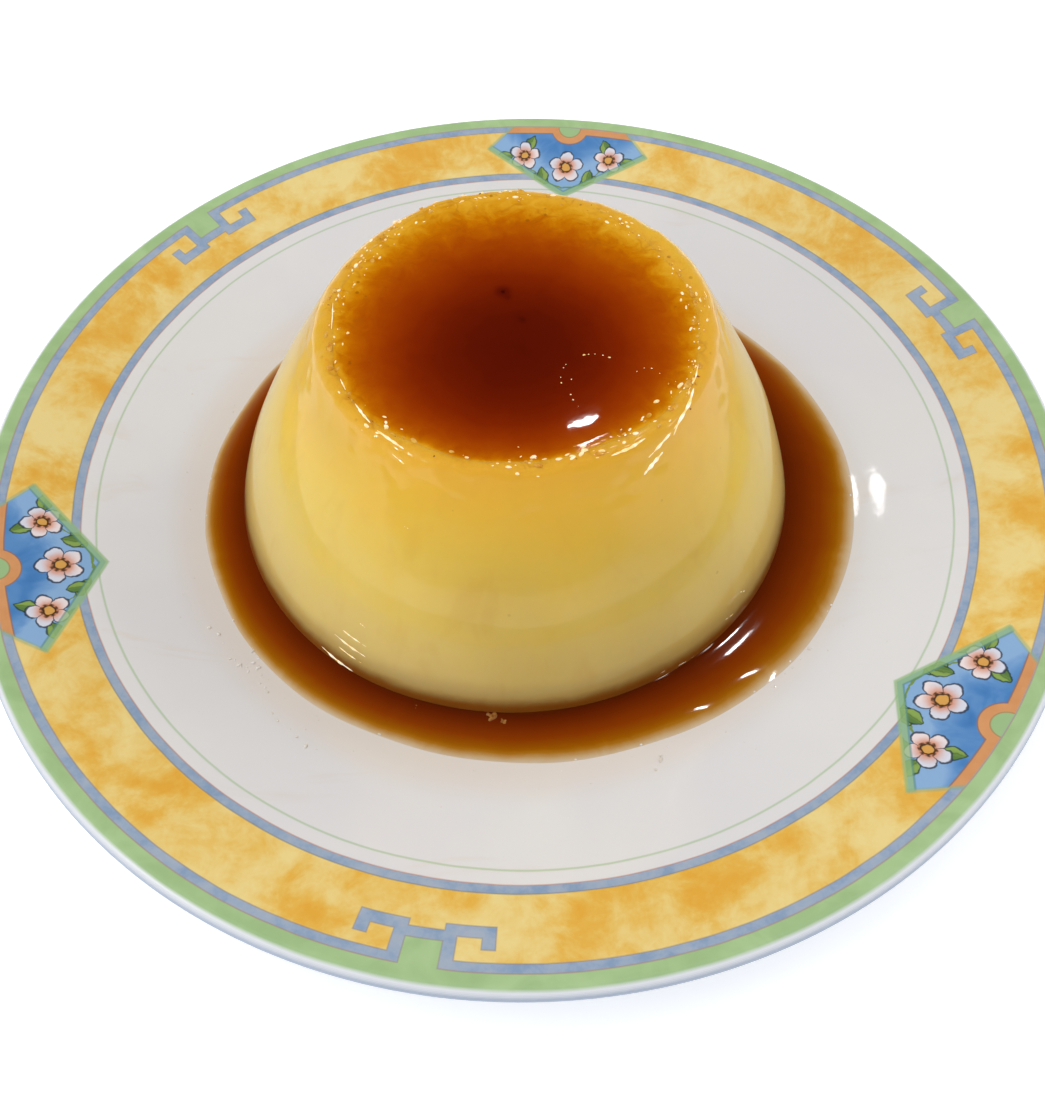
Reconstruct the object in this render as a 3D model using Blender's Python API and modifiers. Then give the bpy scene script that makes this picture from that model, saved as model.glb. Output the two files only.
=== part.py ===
"""Creme caramel flan on its dessert plate, with the syrup on its top and the syrup that ran down round its foot.

Metres, +Z up. The origin is the middle of the plate's foot, on the surface that the plate stands on.
"""

import math

import bmesh
import bpy
from mathutils import Vector

COLLECTION = "creme_caramel_flan"

# Plate
PLATE_RADIUS = 0.090
LIP_RADIUS = 0.0014  # half the thickness of the rolled edge
WELL_RADIUS = 0.0520  # flat floor of the well
WELL_SIDE_START = 0.0585  # from here to WELL_SIDE_END the side of the well rises at one shallow slope
WELL_SIDE_END = 0.0635
WELL_SIDE_SLOPE = 0.24  # rise for each unit outwards
RIM_INNER_RADIUS = 0.0700  # where the straight border starts
RIM_SLOPE = 0.329
WELL_FLOOR = 0.0070
FLOOR_THICKNESS = 0.0042
BORDER_THICKNESS = 0.0034
FOOT_RADIUS = 0.0490  # outer radius of the foot ring
FOOT_WIDTH = 0.0030
FOOT_RECESS = 0.0022  # how far the underside clears the table inside the foot ring
PLATE_STEPS = 72

# Custard
GAP = 0.0003  # between pieces that touch
FLAN_X, FLAN_Y = -0.0011, -0.0011  # the flan stands a little off the plate's middle
FLAN_HEIGHT = 0.0384
FLAN_BASE_RADIUS = 0.0471
SIDE_SLOPE = 0.580  # how much the side draws in for each unit of height
BASE_SLOPE = 0.220  # the same at the base, where the custard bellies out under its weight
BELLY_HEIGHT = 0.024  # below this the side eases from one slope to the other
SHOULDER = 0.0026  # rounding between side and top
DISH_DEPTH = 0.0042
FLAN_STEPS = 64

# Syrup
TOP_SYRUP_DROP = 0.0001  # level of the syrup on top, below the highest ring of custard
POOL_LEVEL = 0.0019  # above the floor of the well
POOL_MEAN_RADIUS = 0.0545
POOL_WAVES = ((1, 0.0025, 22), (2, 0.0012, 2), (3, 0.0003, 19))  # order, swing, turn in degrees
POOL_STEPS = 72


def material(name, colour, roughness, metallic=0.0):
    made = bpy.data.materials.new(name)
    made.use_nodes = True
    shader = made.node_tree.nodes["Principled BSDF"]
    shader.inputs["Base Color"].default_value = (*colour, 1.0)
    shader.inputs["Roughness"].default_value = roughness
    shader.inputs["Metallic"].default_value = metallic
    return made


def arc(centre, radius, start, end, steps):
    """Points (r, z) on an arc, from start to end in degrees, 0 outwards and 90 up."""
    angles = [math.radians(start + (end - start) * i / steps) for i in range(steps + 1)]
    return [(centre[0] + radius * math.cos(a), centre[1] + radius * math.sin(a)) for a in angles]


def turned(name, outline, steps, finish, parent_collection, place=(0.0, 0.0, 0.0)):
    """An object turned about Z from an outline of (r, z) points that runs down its outer side."""
    mesh = bpy.data.meshes.new(name)
    shape = bmesh.new()
    points = [shape.verts.new((r, 0.0, z)) for r, z in outline]
    for first, second in zip(points, points[1:]):
        shape.edges.new((first, second))
    shape.to_mesh(mesh)
    shape.free()
    piece = bpy.data.objects.new(name, mesh)
    piece.location = place
    parent_collection.objects.link(piece)
    screw = piece.modifiers.new("Turn", "SCREW")
    screw.axis = "Z"
    screw.angle = 2 * math.pi
    screw.steps = screw.render_steps = steps
    screw.use_merge_vertices = True
    screw.merge_threshold = 0.00001
    screw.use_smooth_shade = True
    mesh.materials.append(finish)
    return piece


def plate_top(radius):
    """Height of the plate's upper side: a flat floor, the well's shallow side, then the steeper border."""
    curves = (
        (WELL_RADIUS, WELL_SIDE_START, 0.0, WELL_SIDE_SLOPE),
        (WELL_SIDE_START, WELL_SIDE_END, WELL_SIDE_SLOPE, WELL_SIDE_SLOPE),
        (WELL_SIDE_END, RIM_INNER_RADIUS, WELL_SIDE_SLOPE, RIM_SLOPE),
        (RIM_INNER_RADIUS, PLATE_RADIUS, RIM_SLOPE, RIM_SLOPE),
    )
    height = WELL_FLOOR
    for start, end, slope, end_slope in curves:
        out = min(max(radius - start, 0.0), end - start)
        height += slope * out + (end_slope - slope) * out**2 / (2 * (end - start))
    return height


def plate_outline():
    """Top of the plate from its middle to the rolled edge, then back along the underside and over the foot ring."""
    lean = math.degrees(math.atan(RIM_SLOPE))
    lip_radius_at = PLATE_RADIUS - LIP_RADIUS
    touch_radius = lip_radius_at - LIP_RADIUS * math.sin(math.radians(lean))
    lip_height = plate_top(touch_radius) - LIP_RADIUS * math.cos(math.radians(lean))
    radii = [0.0, WELL_RADIUS / 2] + [WELL_RADIUS + (RIM_INNER_RADIUS - WELL_RADIUS) * i / 9 for i in range(10)]
    top = [(radius, plate_top(radius)) for radius in radii]
    lip = arc((lip_radius_at, lip_height), LIP_RADIUS, 90 + lean, lean - 90, 8)
    under = []
    for i in range(8):
        share = i / 7
        radius = RIM_INNER_RADIUS + 0.002 - (RIM_INNER_RADIUS - FOOT_RADIUS - 0.002) * share
        thickness = BORDER_THICKNESS + (FLOOR_THICKNESS - BORDER_THICKNESS) * share
        under.append((radius, plate_top(radius) - thickness))
    foot = [
        (FOOT_RADIUS + 0.0008, 0.0018),
        (FOOT_RADIUS, 0.0006),
        (FOOT_RADIUS - 0.0006, 0.0),
        (FOOT_RADIUS - FOOT_WIDTH + 0.0006, 0.0),
        (FOOT_RADIUS - FOOT_WIDTH, 0.0006),
        (FOOT_RADIUS - FOOT_WIDTH - 0.0012, FOOT_RECESS),
        (0.0, FOOT_RECESS),
    ]
    return top + lip + under + foot


def dish(radius, level, reach, steps):
    """Points (r, z) of the dish in the flan's top, from its middle out to reach. Its rim has that radius and level."""
    points = []
    for i in range(steps + 1):
        out = reach * i / steps
        points.append((out, level - DISH_DEPTH * (1 - (out / radius) ** 2)))
    return points


def side_radius(height):
    """Radius of the flan's side at a height above its base."""
    below = min(height, BELLY_HEIGHT)
    drawn_in = BASE_SLOPE * below + (SIDE_SLOPE - BASE_SLOPE) * below**2 / (2 * BELLY_HEIGHT)
    return FLAN_BASE_RADIUS - drawn_in - SIDE_SLOPE * (height - below)


def shoulder_arc():
    """(centre, first angle in degrees) of the rounding that touches both the side and the top."""
    lean = math.atan(SIDE_SLOPE)
    centre_height = FLAN_HEIGHT - SHOULDER
    touch_height = centre_height + SHOULDER * math.sin(lean)
    centre_radius = side_radius(touch_height) - SHOULDER * math.cos(lean)
    return (centre_radius, centre_height), math.degrees(lean)


def flan_outline():
    """The dished top from its middle, the rounded shoulder, then the side down to the base."""
    centre, first_angle = shoulder_arc()
    outline = dish(centre[0], FLAN_HEIGHT, centre[0] * 0.98, 6)
    outline += arc(centre, SHOULDER, 90, first_angle, 5)
    side_top = outline[-1][1]
    steps = 9
    for i in range(1, steps + 1):
        height = side_top * (1 - i / steps)
        outline.append((side_radius(height), height))
    outline.append((0.0, 0.0))
    return outline


def top_syrup_outline():
    """A lens of syrup: level on top, and the dish's bowl below, a gap above the custard."""
    radius = shoulder_arc()[0][0]
    level = FLAN_HEIGHT - TOP_SYRUP_DROP
    reach = radius * math.sqrt(1 - (GAP + TOP_SYRUP_DROP) / DISH_DEPTH)
    bowl = dish(radius, FLAN_HEIGHT + GAP, reach, 7)
    return [(0.0, level), (reach * 0.6, level)] + bowl[::-1]


def pool_edge(angle):
    """Radius of the pool of syrup at an angle about the flan's own axis."""
    waves = sum(swing * math.cos(order * (angle + math.radians(turn))) for order, swing, turn in POOL_WAVES)
    return POOL_MEAN_RADIUS + waves


def pool_of_syrup(finish, parent_collection):
    """A ring turned round the flan's foot, then fitted to the pool's uneven outline and to the plate below it."""
    inner = FLAN_BASE_RADIUS + GAP
    width = POOL_MEAN_RADIUS - inner
    section = [(0.0, 0.0), (0.5, 0.0), (1.0, 0.0), (0.9, 0.5), (0.66, 0.9), (0.0, 1.0)]  # shares of width and depth
    shape = bmesh.new()
    points = [shape.verts.new((inner + width * across, 0.0, up)) for across, up in section]
    edges = [shape.edges.new((points[i], points[(i + 1) % len(points)])) for i in range(len(points))]
    bmesh.ops.spin(
        shape,
        geom=points + edges,
        axis=(0, 0, 1),
        cent=(0, 0, 0),
        angle=2 * math.pi,
        steps=POOL_STEPS,
        use_merge=True,
    )
    bmesh.ops.remove_doubles(shape, verts=shape.verts, dist=0.00001)
    for point in shape.verts:
        flat = Vector((point.co.x, point.co.y))
        share = (flat.length - inner) / width
        reach = inner + share * (pool_edge(math.atan2(flat.y, flat.x)) - inner)
        flat = flat.normalized() * reach
        floor = plate_top(math.hypot(flat.x + FLAN_X, flat.y + FLAN_Y)) + GAP
        level = WELL_FLOOR + POOL_LEVEL
        point.co = (flat.x, flat.y, floor + point.co.z * (level - floor))
    bmesh.ops.recalc_face_normals(shape, faces=shape.faces)
    for face in shape.faces:
        face.smooth = True
    mesh = bpy.data.meshes.new("caramel_pool")
    shape.to_mesh(mesh)
    shape.free()
    mesh.materials.append(finish)
    piece = bpy.data.objects.new("caramel_pool", mesh)
    piece.location = (FLAN_X, FLAN_Y, 0.0)
    parent_collection.objects.link(piece)
    return piece


def main():
    for old in list(bpy.data.objects):
        bpy.data.objects.remove(old)
    home = bpy.data.collections.new(COLLECTION)
    bpy.context.scene.collection.children.link(home)

    porcelain = material("porcelain", (0.80, 0.79, 0.78), 0.12)
    custard = material("custard", (0.80, 0.60, 0.17), 0.25)
    caramel = material("caramel", (0.16, 0.035, 0.003), 0.06)

    turned("plate", plate_outline(), PLATE_STEPS, porcelain, home)
    flan_foot = (FLAN_X, FLAN_Y, WELL_FLOOR + GAP)
    turned("custard", flan_outline(), FLAN_STEPS, custard, home, flan_foot)
    turned("caramel_top", top_syrup_outline(), FLAN_STEPS, caramel, home, flan_foot)
    pool_of_syrup(caramel, home)


main()
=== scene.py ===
"""The finished look of a creme caramel flan on its painted dessert plate, with its studio and camera.

Metres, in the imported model's frame: the origin is on the table under the middle of the plate, +Z is up and
the eater sits towards -Y. Angles round the plate and the flan are in degrees, anticlockwise from +X.
"""

import math

import bmesh
import bpy
import numpy as np
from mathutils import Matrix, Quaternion, Vector

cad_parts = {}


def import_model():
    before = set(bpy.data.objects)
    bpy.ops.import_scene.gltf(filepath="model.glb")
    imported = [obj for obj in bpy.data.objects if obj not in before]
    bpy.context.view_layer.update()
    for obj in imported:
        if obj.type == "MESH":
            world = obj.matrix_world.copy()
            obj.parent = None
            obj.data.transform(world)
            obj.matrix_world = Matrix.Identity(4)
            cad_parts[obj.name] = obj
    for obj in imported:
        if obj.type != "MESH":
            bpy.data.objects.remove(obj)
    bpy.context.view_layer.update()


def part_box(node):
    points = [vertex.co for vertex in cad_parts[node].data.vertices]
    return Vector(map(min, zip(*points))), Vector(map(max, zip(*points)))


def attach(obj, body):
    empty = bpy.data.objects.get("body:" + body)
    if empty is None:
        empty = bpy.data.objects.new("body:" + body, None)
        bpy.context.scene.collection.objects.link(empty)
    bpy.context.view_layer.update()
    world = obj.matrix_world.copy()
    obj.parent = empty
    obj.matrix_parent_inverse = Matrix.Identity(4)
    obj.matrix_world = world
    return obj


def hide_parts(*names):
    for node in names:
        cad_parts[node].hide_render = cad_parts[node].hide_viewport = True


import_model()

MM = 0.001

# Plate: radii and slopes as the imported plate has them
_, plate_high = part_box("plate")
custard_low, custard_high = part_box("custard")
GAP = 0.3 * MM
PLATE_RADIUS = plate_high.x
LIP_RADIUS = 1.4 * MM
WELL_FLOOR = custard_low.z - GAP
WELL_RADIUS = 52.0 * MM
WELL_SIDE_START = 58.5 * MM
WELL_SIDE_END = 63.5 * MM
WELL_SIDE_SLOPE = 0.24
RIM_INNER_RADIUS = 70.0 * MM
RIM_SLOPE = 0.329
BORDER_THICKNESS = 3.4 * MM
FLOOR_THICKNESS = 4.2 * MM
FOOT_RADIUS = 49.0 * MM
FOOT_WIDTH = 3.0 * MM
FOOT_RECESS = 2.2 * MM
PLATE_STEPS = 288

# Painted border: radii in millimetres, from the edge inwards
GREEN_BAND_OUTER = 89.0
OUTER_LINE = (85.55, 86.85)
INNER_LINE = (74.47, 75.82)
THIN_LINE = (72.10, 72.40)
FRET_ANGLES = (260.4, 137.5, 19.4)
PANEL_ANGLES = (82.5, 196.4, 321.1)
PANEL_CORNERS = ((0.0, 70.9), (16.6, 80.2), (12.0, 86.2))  # inner tip, side tip and outer corner of one half
PANEL_LEAVES = (  # turn in degrees from straight outwards, and root
    (58, (3.2, 73.6)),
    (14, (4.2, 73.4)),
    (104, (11.0, 79.4)),
    (-20, (8.6, 80.6)),
    (170, (9.6, 77.4)),
)
FRET_ARC_RADIUS = 85.0  # the fret's widths are measured along this circle
RING_OUTLINES = (  # radius, colour and strength
    (INNER_LINE[1], "75706C", 0.6),
    (INNER_LINE[0], "C98F78", 0.7),
    (OUTER_LINE[1], "C09488", 0.35),
)

# Flan
FLAN_X = (custard_low.x + custard_high.x) / 2
FLAN_Y = (custard_low.y + custard_high.y) / 2
FLAN_HEIGHT = custard_high.z - custard_low.z
FLAN_BASE_RADIUS = (custard_high.x - custard_low.x) / 2
FLAN_LEAN = (0.028, -0.025)  # how far the flan leans for each unit of height
SIDE_SLOPE = 0.580
BASE_SLOPE = 0.220
BELLY_HEIGHT = 24.0 * MM
SHOULDER = 2.6 * MM
SHOULDER_TOUCH = 37.1 * MM  # height where the rounded shoulder meets the side
CREST_RADIUS = 27.8 * MM
DISH_DEPTH = 4.2 * MM
FLAN_STEPS = 480
STAIN_ANGLE = -62.0  # where the syrup soaked furthest down the side
RUN_ANGLE = -72.0  # where a broad thin film of syrup ran down the side
COLLAR_ANGLE = 190.0  # where such a film lies on the shoulder only

# Syrup: the line where the top syrup meets the custard, and the pool's outer edge, as (order, swing in
# millimetres, turn in degrees) waves on a circle
TOP_LEVEL_DROP = 0.15 * MM
TOP_FILM = 0.07 * MM  # how thick the syrup's wet edge stands on the custard
TOP_EDGE_RADIUS = 27.1 * MM
TOP_EDGE_WAVES = ((1, 0.5, 187), (2, 0.65, -75), (3, 0.5, -22), (7, 0.18, 10), (13, 0.12, 5))
POOL_LEVEL = 1.75 * MM  # above the floor of the well
POOL_CLIMB = 0.7 * MM  # how high it creeps up the custard
POOL_EDGE_RADIUS = 54.7 * MM
POOL_EDGE_WAVES = ((1, 2.5, -18), (2, 1.2, -2), (3, 0.3, -19), (8, 0.12, 4), (17, 0.07, 3))
POOL_STEPS = 360

# Burnt sugar that hangs in the top syrup: x and y from the flan's axis and its reach in millimetres, then
# its strength
SUGAR_BLOTS = ((-2.0, 5.4, 0.9, 0.40), (-1.3, 4.2, 0.5, 0.22), (0.9, -0.6, 1.0, 0.14), (0.1, 0.2, 0.7, 0.08))

# Strings of bubbles in the top syrup, each along an arc: the arc's middle (x and y from the flan's axis) and
# radius in millimetres, its first and last angle, and how many bubbles it has
BUBBLE_STRINGS = (
    (10.6, -12.4, 4.6, 60, 215, 13),
    (12.8, -14.4, 5.6, 150, 225, 7),
    (18.2, -12.6, 1.9, 20, 190, 6),
)

# Trails of small drops on the plate beside the pool: from (x, y) to (x, y) in millimetres, and how many drops
DRIPS = (
    (-43.4, -33.8, -42.6, -36.2, 5),
    (-46.0, -36.5, -43.6, -38.6, 5),
    (-42.6, -36.8, -40.2, -42.6, 8),
    (-50.5, -31.0, -47.0, -35.0, 4),
    (20.7, -52.7, 18.4, -56.3, 4),
    (38.0, -43.0, 44.5, -36.5, 5),
    (-38.5, -46.0, -33.0, -52.0, 5),
)

# Scraps of custard in the syrup: x and y, and size, in millimetres
CRUMBS = ((-5.5, -47.6, 1.1), (-3.9, -48.6, 0.6), (-17.0, -46.0, 0.4), (-30.0, 40.0, 0.8))

# Folds of wet film on the shoulder, drawn near white and glowing as painted highlights: thickness in
# millimetres, then (angle, millimetres past the syrup's edge)
SHOULDER_FOLDS = (
    (0.34, (-31, 1.3), (-36, 1.9), (-43, 2.3), (-47, 2.9)),
    (0.32, (-43, 2.3), (-50, 2.6), (-56, 3.3)),
    (0.42, (-50, 3.2), (-54, 3.7), (-58, 4.4)),
    (0.26, (-54, 1.6), (-59, 2.0), (-65, 2.1)),
    (0.14, (-22, 0.5), (-27, 0.8), (-33, 0.9)),
    (0.22, (-135, 0.6), (-139, 0.4), (-144, 0.2)),
    (0.24, (-122, 1.6), (-127, 1.2), (-132, 0.9)),
    (0.20, (-116, 2.9), (-121, 2.7), (-125, 2.4)),
    (0.13, (-150, 0.2), (-155, 0.1)),
    (0.12, (172, 0.5), (178, 0.3), (184, 0.4)),
)

# Ridges on the side, near white and glowing: painted highlights and painted window reflections on the wet
# custard. Thickness in millimetres, then (angle, millimetres above the base)
SIDE_RIDGES_AS_PAINTED_GLINTS = (
    (0.22, (-128.0, 9.6), (-124.0, 9.0), (-119.5, 8.6)),
    (0.29, (-128.5, 7.6), (-124.0, 7.0), (-119.5, 6.6)),
    (0.22, (-128.5, 5.8), (-124.0, 5.2), (-120.0, 4.9)),
    (0.32, (-131.0, 3.0), (-127.0, 2.4), (-122.5, 2.0)),
    (0.23, (-130.0, 1.7), (-127.0, 1.2), (-124.0, 0.9)),
    (0.14, (-123.0, 12.4), (-121.0, 12.0)),
    (0.12, (-118.0, 1.6), (-112.0, 1.4), (-104.0, 1.5)),
    (0.12, (-150.0, 3.4), (-142.0, 2.8), (-133.0, 2.6)),
    (0.13, (-130.0, 22.0), (-126.0, 21.2)),
    (0.10, (-118.0, 29.2), (-115.0, 28.9)),
    (0.13, (-57.0, 22.2), (-55.0, 23.4)),
    (0.20, (-44.0, 15.5), (-41.0, 14.6), (-40.0, 13.6)),
    (0.17, (-40.0, 12.4), (-38.5, 11.2)),
    (0.20, (-41.0, 7.5), (-38.5, 6.0), (-37.5, 4.6)),
    (0.14, (-47.0, 5.0), (-44.0, 4.2), (-41.0, 3.8)),
    (0.14, (-62.0, 2.6), (-56.0, 2.2), (-49.0, 2.0)),
    (0.12, (-70.0, 3.2), (-62.0, 2.9), (-55.0, 2.9)),
)


# ---- node tools


def linear(code, alpha=1.0):
    """Scene colour of a web colour such as "D9D8DC"."""
    parts = [int(code[i : i + 2], 16) / 255 for i in (0, 2, 4)]
    return (*[c / 12.92 if c <= 0.04045 else ((c + 0.055) / 1.055) ** 2.4 for c in parts], alpha)


def calc(operation, *values, clamp=False):
    """A value worked out from others, each of them a Wire or a number."""
    made = add("ShaderNodeMath", operation=operation, use_clamp=clamp)
    for socket, value in zip(made.inputs, values):
        feed(socket, value)
    return Wire(made.outputs[0])


def arithmetic(operation):
    """The two methods behind an arithmetic sign, for a Wire before it and for a Wire after it."""

    def before(wire, other):
        return calc(operation, wire, other)

    def after(wire, other):
        return calc(operation, other, wire)

    return before, after


class Wire:
    """The value that leaves one socket. Arithmetic on it adds a node for each sign."""

    __add__, __radd__ = arithmetic("ADD")
    __sub__, __rsub__ = arithmetic("SUBTRACT")
    __mul__, __rmul__ = arithmetic("MULTIPLY")

    def __init__(self, socket):
        self.socket = socket

    def __abs__(self):
        return calc("ABSOLUTE", self)


class Drawing:
    """The node tree that new nodes go into."""

    tree = None


def feed(socket, value):
    """Links a Wire or a socket to an input, or sets the input to a plain value."""
    value = value.socket if isinstance(value, Wire) else value
    if isinstance(value, bpy.types.NodeSocket):
        Drawing.tree.links.new(value, socket)
    else:
        socket.default_value = value


def add(kind, inputs=None, **settings):
    made = Drawing.tree.nodes.new(kind)
    for name, value in settings.items():
        setattr(made, name, value)
    for name, value in (inputs or {}).items():
        feed(made.inputs[name], value)
    return made


def named(values):
    """The same values under their sockets' names, which have spaces."""
    return {label.replace("_", " "): value for label, value in values.items()}


def dress(node, **values):
    for label, value in named(values).items():
        feed(node.inputs[label], value)


def least(first, *others):
    for other in others:
        first = calc("MINIMUM", first, other)
    return first


def most(first, *others):
    for other in others:
        first = calc("MAXIMUM", first, other)
    return first


def root_of_squares(first, second):
    return calc("SQRT", first * first + second * second)


def spread(value, low, high, to_low=0.0, to_high=1.0):
    """A value eased from to_low at low to to_high at high."""
    inputs = {"Value": value, "From Min": low, "From Max": high, "To Min": to_low, "To Max": to_high}
    return Wire(add("ShaderNodeMapRange", inputs, interpolation_type="SMOOTHSTEP").outputs[0])


def mix(share, first, second, blend="MIX"):
    made = add("ShaderNodeMix", data_type="RGBA", blend_type=blend)
    for index, value in ((0, share), (6, first), (7, second)):
        feed(made.inputs[index], linear(value) if isinstance(value, str) else value)
    return Wire(made.outputs[2])


def ramp(value, stops):
    """Colour of a value from (place, web colour) stops."""
    made = add("ShaderNodeValToRGB", {"Fac": value})
    elements = made.color_ramp.elements
    while len(elements) < len(stops):
        elements.new(1.0)
    for element, (place, _) in zip(elements, stops):
        element.position = place
    for element, (_, code) in zip(elements, stops):
        element.color = linear(code)
    return Wire(made.outputs["Color"])


def noise(vector, scale, detail=2.0, roughness=0.5, distortion=0.0):
    made = add("ShaderNodeTexNoise", {"Vector": vector, "Scale": scale, "Detail": detail})
    dress(made, Roughness=roughness, Distortion=distortion)
    return Wire(made.outputs["Fac"])


def own(name):
    """A number that the piece's mesh holds at each point."""
    return Wire(add("ShaderNodeAttribute", attribute_name=name).outputs["Fac"])


def object_place():
    return add("ShaderNodeTexCoord").outputs["Object"]


def split(vector):
    return [Wire(part) for part in add("ShaderNodeSeparateXYZ", {"Vector": vector}).outputs]


def group(tree, vector, **values):
    return Wire(add("ShaderNodeGroup", {"Vector": vector, **named(values)}, node_tree=tree).outputs[0])


def new_group(name, output, build, **numbers):
    """A shader node group that takes a Vector and numbers, and gives the one value that build works out."""
    tree = Drawing.tree = bpy.data.node_groups.new(name, "ShaderNodeTree")
    tree.interface.new_socket("Vector", in_out="INPUT", socket_type="NodeSocketVector")
    for label, value in named(numbers).items():
        tree.interface.new_socket(label, in_out="INPUT", socket_type="NodeSocketFloat").default_value = value
    kind = "NodeSocketColor" if output == "Color" else "NodeSocketFloat"
    tree.interface.new_socket(output, in_out="OUTPUT", socket_type=kind)
    arriving, leaving = add("NodeGroupInput").outputs, add("NodeGroupOutput").inputs
    feed(leaving[output], build({socket.name: Wire(socket) for socket in arriving}))
    return tree


def build_cloudy_tone(given):
    """0 to 1 in soft patches, as in brushed colour or set custard."""
    patches = noise(given["Vector"], given["Scale"], 3.0, 0.55, 0.7)
    return spread(patches, 0.32, 0.68)


def build_wet_film(given):
    """Height of the slight waves in a glaze or a film of syrup."""
    slow = noise(given["Vector"], given["Scale"], 1.0, 0.4, 0.3)
    fast = noise(given["Vector"], given["Scale"] * 3.7, 1.0, 0.5, 0.0)
    return fast * given["Fine share"] + slow


def build_flecks(given):
    """1 inside small scattered spots, each of its own size, and 0 outside."""
    inputs = {"Vector": given["Vector"], "Scale": given["Scale"], "Randomness": 1.0}
    cells = add("ShaderNodeTexVoronoi", inputs).outputs
    chance = Wire(add("ShaderNodeSeparateColor", {"Color": cells["Color"]}).outputs["Red"])
    size = chance - (1.0 - given["Amount"])
    reach = calc("MAXIMUM", size, 0.0) * given["Size"]
    return spread(cells["Distance"], reach, reach * 0.6)


cloudy_tone = new_group("cloudy tone", "Tone", build_cloudy_tone, Scale=100.0)
wet_film = new_group("wet film", "Height", build_wet_film, Scale=100.0, Fine_share=0.3)
fleck_mask = new_group("flecks", "Mask", build_flecks, Scale=100.0, Amount=0.3, Size=1.0)


def new_material(name, **constants):
    """(material, its shader), with plain values on the shader's sockets. New nodes then go into its tree."""
    made = bpy.data.materials.new(name)
    made.use_nodes = True
    Drawing.tree = made.node_tree
    shader = made.node_tree.nodes["Principled BSDF"]
    dress(shader, **constants)
    return made, shader


def bump(height, strength, distance):
    inputs = {"Height": height, "Strength": strength, "Distance": distance}
    return add("ShaderNodeBump", inputs).outputs["Normal"]


# ---- painted porcelain


def inside(distance, soft=0.14):
    """1 where a signed distance in millimetres is below 0, with a soft edge."""
    return calc("MULTIPLY_ADD", distance, -1.0 / soft, 0.5, clamp=True)


def stroke(distance, width):
    """1 along a shape's outline."""
    return inside(abs(distance) - width / 2)


def between(value, low, high):
    """Signed distance to the stretch from low to high."""
    off = abs(value - (low + high) / 2)
    return off - (high - low) / 2


def box_shape(across, out, across_range, out_range):
    return most(between(across, *across_range), between(out, *out_range))


def edge_shape(across, out, first, second):
    """Signed distance to the straight edge through two points, positive to the right of its way."""
    run, rise = second[0] - first[0], second[1] - first[1]
    length = math.hypot(run, rise)
    side = (across - first[0]) * (rise / length)
    return (out - first[1]) * (-run / length) + side


def angle_from_nearest(angle, targets):
    """Unsigned angle in radians to the nearest of some angles in degrees."""
    gaps = []
    for target in targets:
        turned_back = angle - math.radians(target)
        gaps.append(abs(calc("WRAP", turned_back, math.pi, -math.pi)))
    return least(*gaps)


def fret_shapes(across, out):
    """Signed distances to a fret's blue line, to the green notch that it rounds and to the notch's side."""
    blue = least(
        box_shape(across, out, (2.5, 4.25), (80.7, OUTER_LINE[1])),
        box_shape(across, out, (-3.0, 3.0), (81.6, 83.1)),
        box_shape(across, out, (2.5, 9.45), (80.65, 82.3)),
        box_shape(across, out, (7.6, 9.45), (80.65, 83.85)),
    )
    notch = box_shape(across, out, (-2.5, 2.5), (83.1, 88.0))
    return blue, notch, across - 2.5


def paint_blossom(colour, across, out, centre, reach):
    """A round five-petalled blossom: pale petals, a blush towards its golden heart and a dark outline."""
    dx = across - centre[0]
    dy = out - centre[1]
    away = root_of_squares(dx, dy)
    turn = calc("ARCTAN2", dx, dy) * 2.5
    petal = abs(calc("COSINE", turn))
    edge = calc("POWER", petal, 0.7) * (0.42 * reach) + 0.58 * reach
    shape = away - edge
    petals = mix(spread(dx + dy, -2.0, 2.0), "F3E6E6", "DFE2EE")
    petals = mix(spread(away, 0.85 * reach, 0.25 * reach), petals, "DF8F62")
    seam = spread(petal, 0.16, 0.05) * spread(away, 0.3 * reach, 0.45 * reach)
    petals = mix(seam * 0.75, petals, "3B3340")
    heart = away - 0.27 * reach
    beads = abs(calc("SINE", turn * 1.6))
    petals = mix(inside(heart - 0.45) * beads, petals, "5C3A22")
    petals = mix(inside(heart), petals, "E0A752")
    petals = mix(stroke(heart, 0.25), petals, "4A3020")
    colour = mix(inside(shape), colour, petals)
    return mix(stroke(shape, 0.34) * 0.9, colour, "27324A")


def paint_leaf(colour, across, out, root, turn, length, width):
    """A pointed leaf that grows from root, turned from straight outwards, with a lit and a shaded half."""
    dx = across - root[0]
    dy = out - root[1]
    sine, cosine = math.sin(math.radians(turn)), math.cos(math.radians(turn))
    along = dx * sine + dy * cosine
    side = dx * cosine + dy * -sine
    share = along * (2 / length) - 1.0
    half_width = share * share * (-width / 2) + width / 2
    shape = most(abs(side) - half_width, between(along, 0.0, length))
    green = mix(spread(side, -0.5, 0.5), "8FAE55", "5E8440")
    green = mix(stroke(side, 0.16) * 0.6, green, "3F5B2C")
    colour = mix(inside(shape), colour, green)
    return mix(stroke(shape, 0.26) * 0.85, colour, "26382F")


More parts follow.
